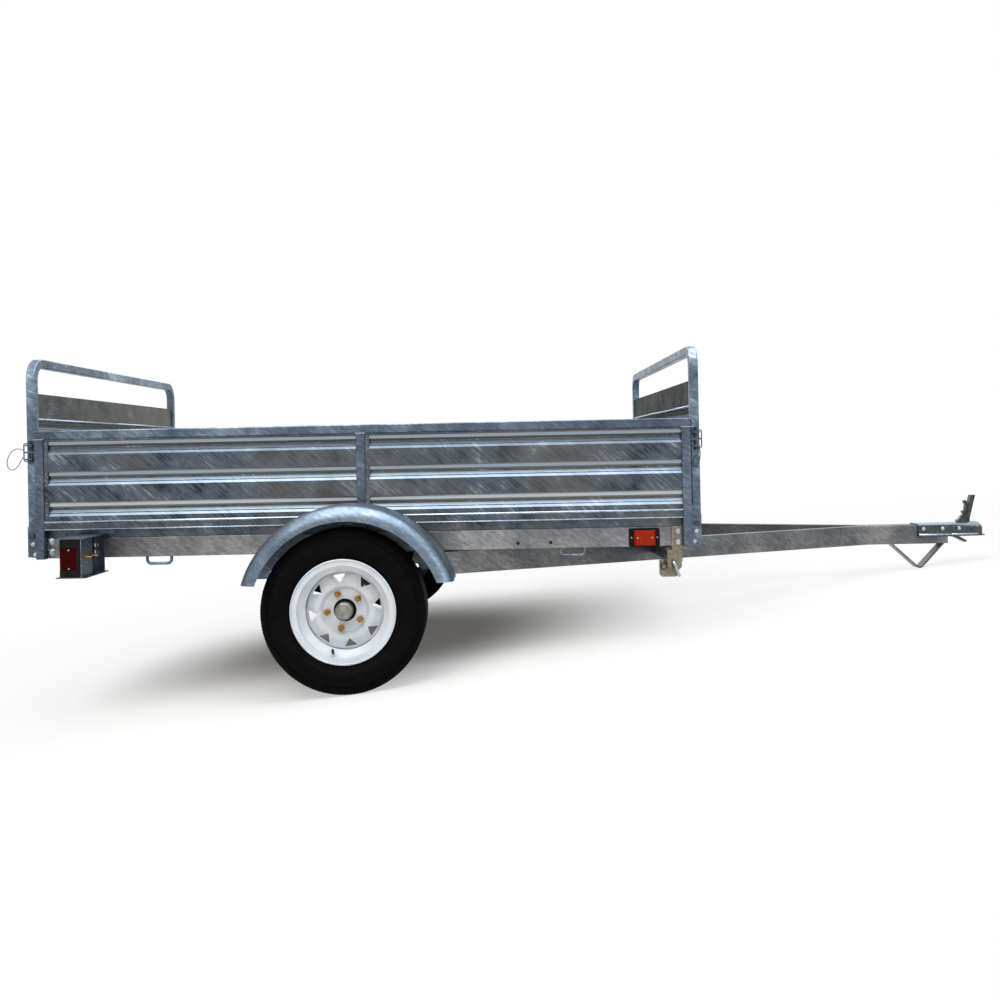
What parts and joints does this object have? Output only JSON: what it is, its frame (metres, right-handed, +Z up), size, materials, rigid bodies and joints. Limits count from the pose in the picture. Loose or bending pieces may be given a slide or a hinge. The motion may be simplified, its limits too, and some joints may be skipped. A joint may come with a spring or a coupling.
{
  "type": "single-axle tilt-bed utility trailer",
  "caption": "Galvanised open-box utility trailer with ribbed steel sides, hooped tubular gates that fold down, a tilting A-frame drawbar, ball coupler and fenders.",
  "frame": {"origin": "on the floor under the middle of the trailer's box, parked on its tyres and its foot", "axes": "+X forward to the coupler, +Y to the left side, +Z up from the floor"},
  "size_m": [3.5601, 1.984, 1.2312],
  "materials": {
    "galvanised_steel": "hot-dip galvanised tube with a dull zinc spangle",
    "galvanised_sheet": "galvanised rolled sheet with slanting streaks",
    "bright_zinc": "bright zinc plate",
    "yellow_zinc": "yellow passivated zinc plate",
    "wire_rope": "thin laid steel wire rope",
    "spring_steel": "black painted spring steel",
    "black_plastic": "black moulded lamp housing",
    "red_lens": "moulded red lamp lens",
    "tyre_rubber": "black tyre rubber",
    "white_enamel": "white wheel enamel",
    "hub_steel": "plain machined hub and pressed grease cap"
  },
  "bodies": {
    "bed": {"side_rails": "galvanised_steel", "cross_beams": "galvanised_steel", "deck_floor": "galvanised_sheet", "side_posts": "galvanised_steel", "top_rails": "galvanised_steel", "right_wall": "galvanised_sheet", "left_wall": "galvanised_sheet", "hinge_brackets": "galvanised_steel", "hinge_pins": "bright_zinc", "post_forks": "galvanised_steel", "axle_beam": "galvanised_steel", "leaf_springs": "spring_steel", "spring_hangers": "galvanised_steel", "spring_clamps": "bright_zinc", "right_fender": "galvanised_sheet", "left_fender": "galvanised_sheet", "fender_spacers": "galvanised_steel", "lamp_brackets": "galvanised_steel", "tail_lamp_bodies": "black_plastic", "tail_lamp_lenses": "red_lens", "marker_bases": "black_plastic", "marker_lenses": "red_lens", "rope_hooks": "galvanised_steel", "tilt_shaft": "bright_zinc", "tilt_hangers": "galvanised_steel", "latch_plates": "galvanised_steel"},
    "drawbar": {"right_arm": "galvanised_steel", "left_arm": "galvanised_steel", "nose_tube": "galvanised_steel", "latch_cross_tube": "galvanised_steel", "latch_eyes": "yellow_zinc", "latch_pins": "bright_zinc", "coupler": "bright_zinc", "coupler_clamp": "bright_zinc", "coupler_lever": "bright_zinc", "parking_foot": "galvanised_steel"},
    "rear_gate": {"rear_gate_hoop": "galvanised_steel", "rear_gate_sheet": "galvanised_sheet", "rear_gate_lugs": "galvanised_steel", "rear_catch_pins": "bright_zinc", "right_rear_lanyard": "wire_rope", "left_rear_lanyard": "wire_rope"},
    "front_gate": {"front_gate_hoop": "galvanised_steel", "front_gate_sheet": "galvanised_sheet", "front_gate_lugs": "galvanised_steel", "front_catch_pins": "bright_zinc", "right_front_lanyard": "wire_rope", "left_front_lanyard": "wire_rope"},
    "right_wheel": {"right_tyre": "tyre_rubber", "right_wheel_rim": "white_enamel", "right_hub": "hub_steel"},
    "left_wheel": {"left_tyre": "tyre_rubber", "left_wheel_rim": "white_enamel", "left_hub": "hub_steel"}
  },
  "joints": [
    {"name": "right_wheel_spin", "type": "hinge", "parent": "bed", "child": "right_wheel", "pos_m": [-0.7137, -0.9, 0.265], "axis": [0, 1, 0], "continuous": true},
    {"name": "left_wheel_spin", "type": "hinge", "parent": "bed", "child": "left_wheel", "pos_m": [-0.7137, 0.9, 0.265], "axis": [0, 1, 0], "continuous": true},
    {"name": "rear_gate_fold", "type": "hinge", "parent": "bed", "child": "rear_gate", "pos_m": [-1.74423, 0, 0.63294], "axis": [0, -1, 0], "range_deg": [0, 125]},
    {"name": "front_gate_fold", "type": "hinge", "parent": "bed", "child": "front_gate", "pos_m": [0.47496, 0, 0.37606], "axis": [0, 1, 0], "range_deg": [0, 90]},
    {"name": "drawbar_tilt", "type": "hinge", "parent": "bed", "child": "drawbar", "pos_m": [-0.37128, 0, 0.35321], "axis": [0, 1, 0], "range_deg": [0, 25]}
  ]
}
